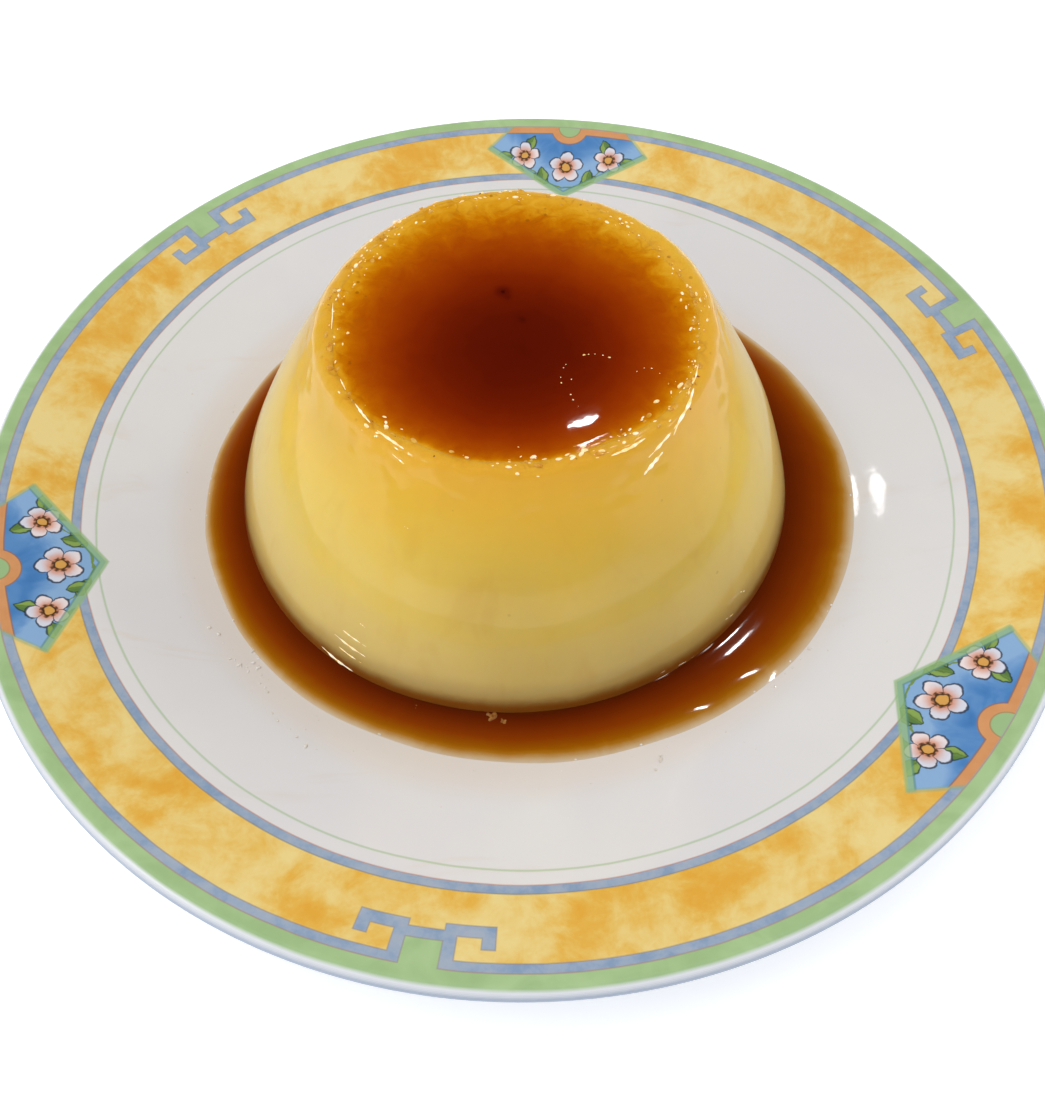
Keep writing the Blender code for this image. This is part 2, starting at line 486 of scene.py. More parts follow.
def paint_panel(place, colour, away, radius):
    """A blue panel across the border: three blossoms among leaves below a scalloped orange line."""
    across = calc("SINE", away) * radius
    out = calc("COSINE", away) * radius
    tip, side_tip, outer_corner = PANEL_CORNERS
    inner_side = edge_shape(across, out, tip, side_tip)
    outer_side = edge_shape(across, out, side_tip, outer_corner)
    past_line = radius - OUTER_LINE[1]
    sides = most(inner_side, outer_side)
    deep = spread(inner_side, -1.5, -9.0)
    wash = group(cloudy_tone, place, Scale=150.0) * -0.45 + deep
    ground = ramp(wash, [(0.0, "8FB6DF"), (0.35, "6C9DD3"), (0.75, "4C87C6"), (1.0, "3F7CBE")])
    across = across + (noise(place, 700.0, 2.0, 0.6) * 0.9 - 0.45)
    out = out + (noise(place, 560.0, 2.0, 0.6, 0.4) * 0.9 - 0.45)
    stem = most(out - (across * across * 0.075 + 72.9), across - 9.5)
    ground = mix(stroke(stem, 0.4), ground, "7C9A4C")
    for turn, root in PANEL_LEAVES:
        ground = paint_leaf(ground, across, out, root, turn, 3.9, 2.2)
    reach = root_of_squares(away * radius, past_line)
    green_cap = reach - 2.3
    orange = least(reach - 3.9, 85.3 - radius)
    ground = mix(inside(orange), ground, mix(noise(place, 400.0), "D68F55", "E3A670"))
    ground = mix(stroke(orange, 0.2) * 0.7, ground, "94633F")
    ground = mix(inside(green_cap), ground, "A2C48A")
    ground = mix(stroke(green_cap, 0.2) * 0.6, ground, "A3764F")
    ground = paint_blossom(ground, across, out, (0.0, 77.6), 3.6)
    ground = paint_blossom(ground, across, out, (8.9, 79.6), 3.2)
    colour = mix(inside(most(sides, past_line) + 0.1), colour, ground)
    edging = most(inner_side - 0.3, -1.0 - inner_side, outer_side - 0.2)
    colour = mix(inside(edging, 0.3) * 0.8, colour, "98BF82")
    hem = stroke(inner_side + 1.0, 0.3) * inside(sides)
    colour = mix(hem * 0.5, colour, "3F8088")
    outer_hem = most(abs(outer_side) - 0.35, inner_side, past_line)
    return mix(inside(outer_hem, 0.3) * 0.5, colour, "8DB38D")


YELLOW_STOPS = [(0.40, "F4DC90"), (0.475, "F2D27C"), (0.525, "F0C662"), (0.57, "EEBB4C"), (0.63, "EDB03A")]
BLUE_STOPS = [(0.34, "8AA3C2"), (0.50, "9DB0C8"), (0.66, "AAB7C8")]


def painted_porcelain():
    made, shader = new_material("painted porcelain", IOR=1.52)
    place = object_place()
    wobble = noise(place, 120.0) * 0.24 - 0.12
    x, y, _ = split(place)
    radius = root_of_squares(x, y) * (1 / MM) + wobble
    angle = calc("ARCTAN2", y, x)

    glaze = mix(group(cloudy_tone, place, Scale=28.0), "E5E4E5", "E9E8E6")
    from_flan = add("ShaderNodeVectorMath", {0: place, 1: (FLAN_X, FLAN_Y, WELL_FLOOR)}, operation="DISTANCE")
    tint = spread(from_flan.outputs["Value"], 62 * MM, 54 * MM)
    glaze = mix(tint * 0.35, glaze, "E6CDAE")
    smear = add("ShaderNodeMapping", {"Vector": place, "Scale": (0.5, 1.6, 1.0), "Rotation": (0, 0, 0.5)})
    smear = spread(noise(smear.outputs["Vector"], 60.0, 4.0, 0.6, 1.0), 0.60, 0.75)
    glaze = mix(smear * 0.22, glaze, "E2CDB4")
    patches = noise(place, 240.0, 4.0, 0.65, 0.5) * 0.28 + noise(place, 75.0, 5.0, 0.62, 0.35) * 0.72
    wash = ramp(patches, YELLOW_STOPS)
    blue = ramp(noise(place, 300.0, 3.0, 0.7), BLUE_STOPS)
    green = mix(group(cloudy_tone, place, Scale=130.0), "A3C489", "B1D096")

    fret_away = angle_from_nearest(angle, FRET_ANGLES)
    fret_blue, notch, notch_side = fret_shapes(fret_away * FRET_ARC_RADIUS, radius)
    outer_blue = least(most(between(radius, *OUTER_LINE), 0.0 - notch_side), fret_blue)
    inner_blue = between(radius, *INNER_LINE)
    green_shape = least(OUTER_LINE[1] - radius, notch)

    colour = mix(inside(INNER_LINE[1] - radius), glaze, wash)
    for shape, tone in ((green_shape, green), (outer_blue, blue), (inner_blue, blue)):
        colour = mix(inside(shape), colour, tone)
    colour = mix(stroke(outer_blue, 0.17) * 0.55, colour, "8D7F86")
    for ring, tone, share in RING_OUTLINES:
        at_ring = stroke(radius - ring, 0.18) * inside(0.2 - notch)
        colour = mix(at_ring * share, colour, tone)
    thin = inside(between(radius, *THIN_LINE), 0.2)
    colour = mix(thin * 0.75, colour, "B4CBA4")
    colour = paint_panel(place, colour, angle_from_nearest(angle, PANEL_ANGLES), radius)
    bare_edge = inside(GREEN_BAND_OUTER - radius, 0.5)
    # Painted shade: the lip darkens to bluish grey the more its surface faces down, as if in the shade under
    # the rim.
    upwards = split(add("ShaderNodeNewGeometry").outputs["True Normal"])[2]
    painted_underside_shade = spread(upwards, 0.92, 0.30)
    colour = mix(most(bare_edge, painted_underside_shade), colour, mix(painted_underside_shade, "ECEFF2", "9DADC2"))
    painted = spread(radius, INNER_LINE[0] - 0.4, INNER_LINE[0] + 0.4, 0.06, 0.34)
    waves = group(wet_film, place, Scale=110.0, Fine_share=0.25)
    dress(shader, Base_Color=colour, Roughness=painted, Normal=bump(waves, 0.10, 0.4 * MM))
    return made


# ---- custard and syrup materials

# Syrup over custard, from the deepest spot (0) to the line where the custard comes through (0.8) and beyond
TOP_SYRUP_STOPS = [
    (0.00, "3C0600"),
    (0.05, "5A1000"),
    (0.17, "611300"),
    (0.29, "701A00"),
    (0.40, "822400"),
    (0.52, "983500"),
    (0.64, "AC4900"),
    (0.73, "BE6200"),
    (0.79, "CE7C02"),
    (0.84, "DE9A18"),
    (0.89, "E8AB2C"),
    (0.97, "EDB234"),
]
POOL_STOPS = [
    (0.00, "84480C"),
    (0.03, "642A00"),
    (0.09, "571D00"),
    (0.20, "672200"),
    (0.35, "782C00"),
    (0.50, "8A3900"),
    (0.61, "964C00"),
    (0.68, "A05C00"),
    (0.74, "B0741A"),
    (0.79, "C29657"),
    (0.84, "D2B48A"),
    (0.90, "DCCDB8"),
    (1.00, "E4DED6"),
]
CUSTARD_STOPS = [
    (0.00, "DEC274"),
    (0.25, "E8CB72"),
    (0.45, "E9CB66"),
    (0.65, "E8C64D"),
    (0.85, "EBC038"),
    (1.00, "F0C131"),
]
# Darker bands at the custard's foot, partly syrup soaked into it and partly a painted reflection of the dark
# pool in its wet side:
# where each begins and where it is full, in millimetres above the base, then its strength and colour
FOOT_STAINS_AND_POOL_REFLECTION = ((9.0, 4.2, 0.60, "B08E50"), (5.2, 3.2, 0.8, "8E5E20"), (3.9, 2.6, 0.9, "92500A"))


def build_syrup_tone(given):
    """Colour of syrup over custard by depth, broken up by clouds, wisps and flecks where it is shallow."""
    place, depth = given["Vector"], given["Depth"]
    slow = noise(place, 150.0, 4.0, 0.6, 0.8)
    fine = noise(place, 330.0, 4.0, 0.62, 0.9)
    shallow = spread(depth, 0.50, 0.92)
    broken = (fine - 0.5) * (shallow * 0.22 + 0.04)
    depth = slow * 0.13 - 0.065 + (depth + broken)
    colour = ramp(depth * 0.8 + 0.05, TOP_SYRUP_STOPS)
    warp = add("ShaderNodeTexNoise", {"Vector": place, "Scale": 330.0, "Detail": 2.0}).outputs["Color"]
    inputs = {0: warp, 1: (4 * MM, 4 * MM, 4 * MM), 2: place}
    warped = add("ShaderNodeVectorMath", inputs, operation="MULTIPLY_ADD").outputs["Vector"]
    cells = add("ShaderNodeTexVoronoi", {"Vector": warped, "Scale": 250.0}, feature="DISTANCE_TO_EDGE")
    wisps = spread(cells.outputs["Distance"], 0.10, 0.0) * shallow
    wisps = wisps * spread(noise(place, 260.0), 0.46, 0.60) * spread(depth, 1.22, 1.04)
    colour = mix(wisps * 0.26, colour, "A8580C")
    flecks = group(fleck_mask, place, Scale=700.0, Amount=0.15, Size=2.2)
    flecks = flecks * (shallow * spread(depth, 1.25, 1.05))
    return mix(flecks * 0.55, colour, "904A0A")


syrup_tone = new_group("syrup over custard", "Color", build_syrup_tone, Depth=0.5)


def build_rim_relief(given):
    """Height of the small lumps along the ring where the syrup gives way to custard."""
    place, depth = given["Vector"], given["Depth"]
    ring = spread(depth, 0.78, 0.98) * spread(depth, 1.30, 1.10)
    lumpy = noise(place, 1500.0, 1.0, 0.5) * 0.5 + noise(place, 620.0, 2.0, 0.6, 0.6)
    return lumpy * ring


rim_relief = new_group("rim relief", "Height", build_rim_relief, Depth=0.5)


def baked_custard():
    made, shader = new_material(
        "baked custard",
        Roughness=0.38,
        IOR=1.40,
        Specular_IOR_Level=0.25,
        Subsurface_Weight=0.30,
        Subsurface_Scale=2.5 * MM,
        Coat_Weight=0.65,
        Subsurface_Radius=(1.0, 0.62, 0.22),
        Coat_Roughness=0.08,
    )
    place = object_place()
    height = own("height_mm")
    cloud = group(cloudy_tone, place, Scale=70.0)
    level = height * (1 / 38.0) + (cloud * 0.12 - 0.06)
    colour = ramp(level, CUSTARD_STOPS)
    streaks = add("ShaderNodeMapping", {"Vector": place, "Scale": (1.0, 1.0, 0.22)}).outputs["Vector"]
    streak = spread(noise(streaks, 210.0, 2.0, 0.6, 0.3), 0.52, 0.74)
    colour = mix(streak * 0.22, colour, "D9A83A")
    colour = mix(own("syrup_run"), colour, "F0EDE2", "MULTIPLY")
    depth = own("edge_share")
    tone = group(syrup_tone, place, Depth=depth)
    colour = mix(own("stain"), colour, tone)
    wavy = noise(place, 160.0, 3.0, 0.6, 0.5) * 1.6 + (height - 0.8)
    # Darker towards the base: syrup soaked into the foot, with a painted reflection of the dark pool.
    for start, full, share, code in FOOT_STAINS_AND_POOL_REFLECTION:
        colour = mix(spread(wavy, start, full) * share, colour, code)
    pores = group(fleck_mask, place, Scale=420.0, Amount=0.05, Size=3.0)
    colour = mix(pores * 0.35, colour, "B98A2C")
    waves = group(wet_film, place, Scale=190.0, Fine_share=0.35)
    relief = group(rim_relief, place, Depth=depth) * 3.0 + (waves - pores * 0.5)
    dress(shader, Base_Color=colour, Normal=bump(relief, 0.18, 0.4 * MM))
    return made


def top_caramel():
    made, shader = new_material("caramel on the top", Roughness=0.025, IOR=1.45)
    place = object_place()
    depth = own("edge_share")
    colour = group(syrup_tone, place, Depth=depth)
    waves = group(wet_film, place, Scale=160.0, Fine_share=0.2)
    waves = group(rim_relief, place, Depth=depth) * 5.0 + waves
    dress(shader, Base_Color=colour, Normal=bump(waves, 0.06, 0.3 * MM))
    return made


def pool_caramel():
    made, shader = new_material("caramel in the pool", Roughness=0.05, IOR=1.45)
    place = object_place()
    uneven = noise(place, 120.0, 4.0, 0.55, 0.8) * 0.12 - 0.06
    depth = own("edge_share") + uneven
    colour = ramp(depth * 0.87, POOL_STOPS)
    waves = group(wet_film, place, Scale=130.0, Fine_share=0.2)
    dress(shader, Base_Color=colour, Normal=bump(waves, 0.07, 0.3 * MM))
    return made


def bead_film(name, dark, light, roughness, glow=0.0):
    """A wet bead of syrup or froth, between two tones. A glow, where one is given, is painted light: it makes
    the bead shine like a highlight without any lamp.
    """
    made, shader = new_material(
        name, Roughness=roughness, IOR=1.42, Coat_Weight=1.0, Coat_Roughness=0.03, Emission_Strength=glow
    )
    colour = mix(group(cloudy_tone, object_place(), Scale=900.0), dark, light)
    dress(shader, Base_Color=colour)
    # Painted light: the glow stands in for glints.
    if glow:
        dress(shader, Emission_Color=colour)
    return made


# ---- shapes


def circle_of(steps):
    return np.arange(steps) * 2 * math.pi / steps


def waves_at(mean, waves, angle):
    """Radius at each angle of a circle with (order, swing in millimetres, turn in degrees) waves on it."""
    turned = [(order, swing * MM, angle - math.radians(turn)) for order, swing, turn in waves]
    return mean + sum(swing * np.cos(order * away) for order, swing, away in turned)


def lumps(points, size, seed):
    """Smooth uneven values over an array of points, mostly -1 to 1, with bumps about as wide as size."""
    chance = np.random.default_rng(seed)
    total = np.zeros(points.shape[:-1])
    for _ in range(9):
        direction = chance.normal(size=3)
        direction *= chance.uniform(0.7, 1.3) * math.pi / (size * np.linalg.norm(direction))
        total += np.sin(points @ direction + chance.uniform(0, 2 * math.pi))
    return total / 3


def around(radii, heights, angle, centre=(0.0, 0.0)):
    """Rings of points from radii and heights, each either one number a ring or one number a point."""
    radii, heights = (np.asarray(values, float) for values in (radii, heights))
    radii = radii if radii.ndim == 2 else np.repeat(radii[:, None], len(angle), axis=1)
    heights = heights if heights.ndim == 2 else np.repeat(heights[:, None], len(angle), axis=1)
    return np.stack([centre[0] + radii * np.cos(angle), centre[1] + radii * np.sin(angle), heights], axis=-1)


def part_way(value, low, high):
    """How far a value is on its way from low to high, kept within 0 and 1. low may be the greater."""
    return np.clip((value - low) / (high - low), 0, 1)


def new_object(name, data):
    """An object that is in the scene."""
    made = bpy.data.objects.new(name, data)
    bpy.context.scene.collection.objects.link(made)
    return made


def new_mesh(name, points, faces):
    mesh = bpy.data.meshes.new(name)
    mesh.from_pydata(np.asarray(points).tolist(), [], faces)
    return mesh


def new_piece(mesh, material):
    """A smooth piece of one material, named as its mesh."""
    mesh.shade_smooth()
    mesh.materials.append(material)
    return new_object(mesh.name, mesh)


def tube_faces(rows, steps):
    """Faces with four corners between rows of closed rings."""
    index = np.arange(rows * steps).reshape(rows, steps)
    after = np.roll(index, -1, axis=1)
    return np.stack([index[:-1], index[1:], after[1:], after[:-1]], axis=-1).reshape(-1, 4).tolist()


def ring_skin(name, rings, material, maps, numbers=None):
    """A mesh over closed rings of points, from the middle of the top round to the middle of the underside.

    maps lists (last band, middle of a disc in the texture, reach of each ring from it), and numbers gives
    named arrays of one number for each point.
    """
    rows, steps = rings.shape[:2]
    mesh = new_mesh(name, rings.reshape(-1, 3), tube_faces(rows, steps))
    for label, values in (numbers or {}).items():
        layer = mesh.attributes.new(label, "FLOAT", "POINT")
        layer.data.foreach_set("value", np.ascontiguousarray(values, np.float32).reshape(-1))

    angle = np.append(circle_of(steps), 2 * math.pi)
    turned = np.stack([np.cos(angle), np.sin(angle)], axis=-1)
    places = np.empty((rows - 1, steps, 4, 2))
    first = 0
    for last, middle, reach in maps:
        for band in range(first, last):
            near, far = (np.array(middle) + reach[row] * turned for row in (band, band + 1))
            places[band] = np.stack([near[:-1], far[:-1], far[1:], near[1:]], axis=1)
        first = last
    mesh.uv_layers.new(name="OFBake").data.foreach_set("uv", places.reshape(-1))

    shape = bmesh.new()
    shape.from_mesh(mesh)
    bmesh.ops.remove_doubles(shape, verts=shape.verts, dist=1e-7)
    shape.to_mesh(mesh)
    shape.free()
    return new_piece(mesh, material)


def two_discs(length, last, disc, under_disc, start=0.0):
    """Texture maps for ring_skin: one disc for the rings as far as last, and one for those under them.

    length is each ring's way along the skin, a disc is (middle, reach), and start is the first ring's reach.
    """
    (middle, reach), (under_middle, under_reach) = disc, under_disc
    left = (length[-1] - length) / (length[-1] - length[last])
    return [
        (last, (middle, middle), start + (reach - start) * length / length[last]),
        (len(length) - 1, (under_middle, under_middle), under_reach * left),
    ]


def path_length(radii, heights):
    steps = np.hypot(np.diff(radii), np.diff(heights))
    return np.concatenate([[0.0], np.cumsum(steps)])


def stands_for(piece, slot, *nodes):
    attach(piece, "root")
    if nodes:
        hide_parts(*nodes)
    return piece


# ---- plate


def plate_top(radius):
    """Height of the plate's upper side: a flat floor, the well's shallow side, then the steeper border."""
    curves = (
        (WELL_RADIUS, WELL_SIDE_START, 0.0, WELL_SIDE_SLOPE),
        (WELL_SIDE_START, WELL_SIDE_END, WELL_SIDE_SLOPE, WELL_SIDE_SLOPE),
        (WELL_SIDE_END, RIM_INNER_RADIUS, WELL_SIDE_SLOPE, RIM_SLOPE),
        (RIM_INNER_RADIUS, PLATE_RADIUS, RIM_SLOPE, RIM_SLOPE),
    )
    radius = np.asarray(radius, float)
    height = np.full(radius.shape, WELL_FLOOR)
    for start, end, slope, end_slope in curves:
        out = np.clip(radius - start, 0.0, end - start)
        height = height + slope * out + (end_slope - slope) * out**2 / (2 * (end - start))
    return height


def plate():
    lean = math.atan(RIM_SLOPE)
    lip_middle = PLATE_RADIUS - LIP_RADIUS
    touch = lip_middle - LIP_RADIUS * math.sin(lean)
    lip_height = plate_top(touch) - LIP_RADIUS * math.cos(lean)
    top = np.concatenate([np.linspace(0, WELL_RADIUS, 12)[:-1], np.linspace(WELL_RADIUS, touch, 54)[:-1]])
    turn = np.linspace(math.pi / 2 + lean, lean - math.pi / 2, 22)
    share = np.linspace(0, 1, 26)
    under = RIM_INNER_RADIUS + 2 * MM - (RIM_INNER_RADIUS - FOOT_RADIUS - 2 * MM) * share
    under_height = plate_top(under) - BORDER_THICKNESS - (FLOOR_THICKNESS - BORDER_THICKNESS) * share
    foot = np.array([(0.8, 1.8), (0.25, 0.9), (0.0, 0.45), (-0.25, 0.1), (-0.7, 0.0)]) * MM
    inner = FOOT_RADIUS - FOOT_WIDTH
    foot_inner = np.array([(0.7, 0.0), (0.25, 0.1), (0.0, 0.45), (-0.4, 1.3), (-1.2, FOOT_RECESS / MM)]) * MM
    middle = np.linspace(inner - 1.2 * MM, 0, 8)[1:]
    parts = [
        (top, plate_top(top)),
        (lip_middle + LIP_RADIUS * np.cos(turn), lip_height + LIP_RADIUS * np.sin(turn)),
        (under, under_height),
        (FOOT_RADIUS + foot[:, 0], foot[:, 1]),
        (inner + foot_inner[:, 0], foot_inner[:, 1]),
        (middle, np.full(len(middle), FOOT_RECESS)),
    ]
    radii, heights = (np.concatenate(values) for values in zip(*parts))
    lip_end = len(top) + len(turn) - 1
    length = path_length(radii, heights)
    maps = two_discs(length, lip_end, (0.405, 0.400), (0.845, 0.150))
    rings = around(radii, heights, circle_of(PLATE_STEPS))
    piece = ring_skin("dessert_plate", rings, painted_porcelain(), maps)
    return stands_for(piece, "porcelain", "plate")


# ---- custard


def side_radius(height):
    """Radius of the flan's side at a height above its base."""
    below = np.minimum(height, BELLY_HEIGHT)
    drawn_in = BASE_SLOPE * below + (SIDE_SLOPE - BASE_SLOPE) * below**2 / (2 * BELLY_HEIGHT)
    return FLAN_BASE_RADIUS - drawn_in - SIDE_SLOPE * (height - below)


def top_edge(angle):
    """Radius at which the top syrup meets the custard."""
    return waves_at(TOP_EDGE_RADIUS, TOP_EDGE_WAVES, angle)


def leaned(rings):
    """Rings about the flan's own axis, moved to where the flan stands and sheared by its lean."""
    height = rings[..., 2] - WELL_FLOOR
    moved = rings.copy()
    for axis, middle in enumerate((FLAN_X, FLAN_Y)):
        moved[..., axis] += middle + FLAN_LEAN[axis] * (height - FLAN_HEIGHT / 2)
    return moved


def dish_drop(share):
    """Depth of the dish below its edge, from its middle (0) to its edge (1)."""
    return DISH_DEPTH * (1 - share**2)


CREST = custard_high.z - WELL_FLOOR
TOP_LEVEL = CREST - TOP_LEVEL_DROP


def custard_rings(angle):
    """Radii and heights of the custard's surface for each ring and angle, from the middle of its dish out."""
    edge = top_edge(angle)
    crest = np.maximum(edge + 0.5 * MM, CREST_RADIUS)
    rows = [(share * edge, TOP_LEVEL - dish_drop(share)) for share in np.linspace(0, 1, 16)]
    for share in (0.35, 0.7, 1.0):
        rise = (CREST - TOP_LEVEL) * math.sin(share * math.pi / 2)
        rows.append((edge + (crest - edge) * share, TOP_LEVEL + rise))
    lean = math.atan(SIDE_SLOPE)
    touch = side_radius(SHOULDER_TOUCH)
    for turn in np.linspace(math.pi / 2, lean, 18)[1:]:
        across = (touch - crest) * math.cos(turn) / math.cos(lean)
        rows.append((crest + across, CREST - SHOULDER + SHOULDER * math.sin(turn)))
    start = rows[-1][1]
    for left in np.linspace(1, 0, 100)[1:]:
        rows.append((side_radius(SHOULDER_TOUCH * left), start * left))
    rows += [(FLAN_BASE_RADIUS * share, 0.0) for share in (0.6, 0.0)]
    return (np.array([value + 0 * edge for value in values]) for values in zip(*rows))


def syrup_depth(share, angle):
    """Place in the syrup's colours: 0 where it is deepest, a little towards the eater, and 1 at its edge."""
    away = share + 0 * angle
    for _ in range(14):
        hollow = 0.23 * (1 - np.clip(away, 0, 1) ** 4)
        away = np.hypot(share * np.cos(angle), share * np.sin(angle) + hollow)
    return (away * (1 + 0.05 * np.clip(np.sin(angle), 0, 1))) ** 1.4


def custard():
    angle = circle_of(FLAN_STEPS)
    radii, heights = custard_rings(angle)
    rings = around(radii, heights, angle)
    above = part_way(heights, 0, 8 * MM)
    outside = part_way(radii, 20 * MM, 26 * MM)
    swell = (0.16 * MM * lumps(rings, 24 * MM, 3) + 0.05 * MM * lumps(rings, 7 * MM, 5)) * above
    puckered = part_way(heights, 30 * MM, 36 * MM) * outside
    swell += (0.05 * MM * lumps(rings, 2.4 * MM, 8) + 0.03 * MM * lumps(rings, 1.3 * MM, 9)) * puckered
    radii = radii + swell * outside
    heights = heights + 0.06 * MM * lumps(rings, 2.0 * MM, 14) * puckered * (radii > top_edge(angle))
    rings = around(radii, heights + WELL_FLOOR, angle)

    edge = top_edge(angle)
    past_edge = np.maximum(radii - edge, 0) + np.maximum(CREST - heights, 0) * (radii > edge)
    front = part_way(np.cos(angle - math.radians(STAIN_ANGLE)), 0, 0.8) ** 1.5
    fade = (1.6 + 8.5 * front) * MM
    stain = np.exp(-np.maximum(past_edge - 1.2 * MM, 0) / fade[None, :])
    at_run, at_collar = (np.cos(angle - math.radians(middle)) for middle in (RUN_ANGLE, COLLAR_ANGLE))
    run = part_way(at_run, 0.77, 0.95) * part_way(heights, 34 * MM, 24 * MM)
    run += part_way(at_collar, 0.60, 0.95) * part_way(heights, 29 * MM, 35 * MM)
    beyond = (0.06 + 0.03 * front) * past_edge / MM
    numbers = {
        "edge_share": syrup_depth(np.minimum(radii / edge, 1.0), angle) + beyond,
        "stain": np.clip(stain, 0, 1),
        "syrup_run": np.clip(run * (1 + 0.2 * lumps(rings, 9 * MM, 15)), 0, 1),
        "height_mm": heights / MM,
    }
    length = path_length(radii[:, 0], heights[:, 0])
    base_ring = len(radii) - 3
    maps = two_discs(length, base_ring, (0.46, 0.45), (0.95, 0.045))
    piece = ring_skin("baked_custard", leaned(rings), baked_custard(), maps, numbers)
    return stands_for(piece, "custard", "custard")


# ---- syrup


def top_syrup():
    """The syrup that fills the dish: level, with a thin wet edge that runs out just past the dish."""
    angle = circle_of(FLAN_STEPS)
    edge = top_edge(angle)
    top_shares = np.concatenate([np.linspace(0, 0.94, 60), [0.965, 0.98, 0.99, 1.0, 1.008, 1.012]])
    film = TOP_FILM * np.sqrt(np.clip(1 - np.maximum(0, (top_shares - 0.965) / 0.047) ** 2, 0, None))
    under_shares = np.array([0.99, 0.7, 0.4, 0.0])
    under_heights = TOP_LEVEL - dish_drop(under_shares) - 0.08 * MM
    shares = np.concatenate([top_shares, under_shares])[:, None]
    heights = np.concatenate([TOP_LEVEL + film - 0.02 * MM, under_heights])
    rings = around(shares * edge, heights + WELL_FLOOR, angle)
    rings[..., 2] += 0.012 * MM * lumps(rings, 7 * MM, 13) * part_way(shares, 0.97, 0.57)
    depth = syrup_depth(np.minimum(shares, 1.0), angle)
    for x, y, reach, strength in SUGAR_BLOTS:
        away = np.hypot(rings[..., 0] - x * MM, rings[..., 1] - y * MM)
        depth = depth - strength * np.exp(-((away / (reach * MM)) ** 2))
    length = path_length(shares[:, 0] * edge[0], heights)
    maps = two_discs(length, len(top_shares) - 1, (0.46, 0.45), (0.95, 0.045))
    piece = ring_skin("top_syrup", leaned(rings), top_caramel(), maps, {"edge_share": depth})
    return stands_for(piece, "caramel", "caramel_top")


def pool_edge(angle):
    return waves_at(POOL_EDGE_RADIUS, POOL_EDGE_WAVES, angle)


def flan_foot():
    """Middle of the flan's base, which the lean puts a little off the middle of its box."""
    return FLAN_X - FLAN_LEAN[0] * FLAN_HEIGHT / 2, FLAN_Y - FLAN_LEAN[1] * FLAN_HEIGHT / 2


def pool_top(share, floor):
    """Height of the pool above a stretch of plate, from the custard (0) to the thin outer edge (1)."""
    climb = POOL_CLIMB * np.exp(-share / 0.05)
    fill = WELL_FLOOR + POOL_LEVEL - floor
    return floor + fill * (1 - share**3) + climb


def syrup_pool():
    angle = circle_of(POOL_STEPS)
    foot = flan_foot()
    inner = FLAN_BASE_RADIUS - 1.0 * MM
    edge = pool_edge(angle)
    inner_shares = np.linspace(0, 0.3, 24)[:-1]
    top_shares = np.concatenate([inner_shares, np.linspace(0.3, 0.99, 35), [0.995, 0.998, 1.0]])
    shares = np.concatenate([top_shares, [0.9995, 0.5, 0.0, 0.0]])[:, None]
    radii = inner + (edge - inner) * shares
    rings = around(radii, np.zeros_like(radii), angle, foot)
    floor = plate_top(np.hypot(rings[..., 0], rings[..., 1]))
    top = pool_top(shares, floor)
    ripple = 0.018 * MM * lumps(rings, 6 * MM, 21) * part_way(shares, 1, 2 / 3)
    rings[..., 2] = np.maximum(top + ripple, floor + 0.02 * MM)
    rings[-4:-1, :, 2] = floor[-4:-1] - 0.1 * MM
    length = path_length(radii[:, 0], rings[:, 0, 2])
    maps = two_discs(length, len(top_shares) - 1, (0.5, 0.49), (0.5, 0.18), start=0.20)
    aside = 1 - np.clip(-np.sin(angle), 0, 1) ** 2
    numbers = {"edge_share": shares + 0.22 * aside * np.clip(1 - shares, 0, 1) ** 2}
    piece = ring_skin("syrup_pool", rings, pool_caramel(), maps, numbers)
    return stands_for(piece, "caramel", "caramel_pool")


# ---- beads, flecks and folds


def grain(detail):
    """Points and faces of one round grain of radius 1."""
    shape = bmesh.new()
    bmesh.ops.create_icosphere(shape, subdivisions=detail, radius=1.0)
    points = np.array([point.co[:] for point in shape.verts])
    faces = np.array([[point.index for point in face.verts] for face in shape.faces])
    shape.free()
    return points, faces


def scattered(name, places, material, slot, detail=2, seed=1, uneven=0.15):
    """One piece of many small grains. places lists (middle, (x, y, z) sizes, turn) of each."""
    chance = np.random.default_rng(seed)
    base_points, base_faces = grain(detail)
    points, faces = [], []
    for count, (middle, sizes, turn) in enumerate(places):
        shape = base_points * (1 + uneven * lumps(base_points, 1.2, int(chance.integers(1000)))[:, None])
        shape = shape * np.array(sizes)
        turned = np.array(Quaternion((0, 0, 1), turn).to_matrix())
        points.append(shape @ turned.T + np.array(middle))
        faces.append(base_faces + count * len(base_points))
    mesh = new_mesh(name, np.concatenate(points), np.concatenate(faces).tolist())
    return stands_for(new_piece(mesh, material), slot)


def on_flan(angle, radius, height):
    """A point at an angle in radians round the flan's own axis, out from it and up from the flan's base."""
    return leaned(np.array([radius * math.cos(angle), radius * math.sin(angle), WELL_FLOOR + height]))


def on_top(angle, past):
    """A point on the flan's top or shoulder, at an angle in radians and a distance past the syrup's edge."""
    edge = float(top_edge(np.array([angle]))[0])
    radius = edge + past
    crest = max(edge + 0.5 * MM, CREST_RADIUS)
    if past <= 0:
        height = TOP_LEVEL
    elif radius < crest:
        height = TOP_LEVEL + (CREST - TOP_LEVEL) * math.sin(past / (crest - edge) * math.pi / 2)
    elif radius < side_radius(SHOULDER_TOUCH):
        reach = (side_radius(SHOULDER_TOUCH) - crest) / math.cos(math.atan(SIDE_SLOPE))
        height = CREST - SHOULDER + SHOULDER * math.sqrt(1 - ((radius - crest) / reach) ** 2)
    else:
        height = SHOULDER_TOUCH - (radius - side_radius(SHOULDER_TOUCH)) / SIDE_SLOPE
    return on_flan(angle, radius, height)


def on_side(angle, height):
    """A point on the flan's side, at an angle in radians and a height above its base."""
    return on_flan(angle, side_radius(height), height)


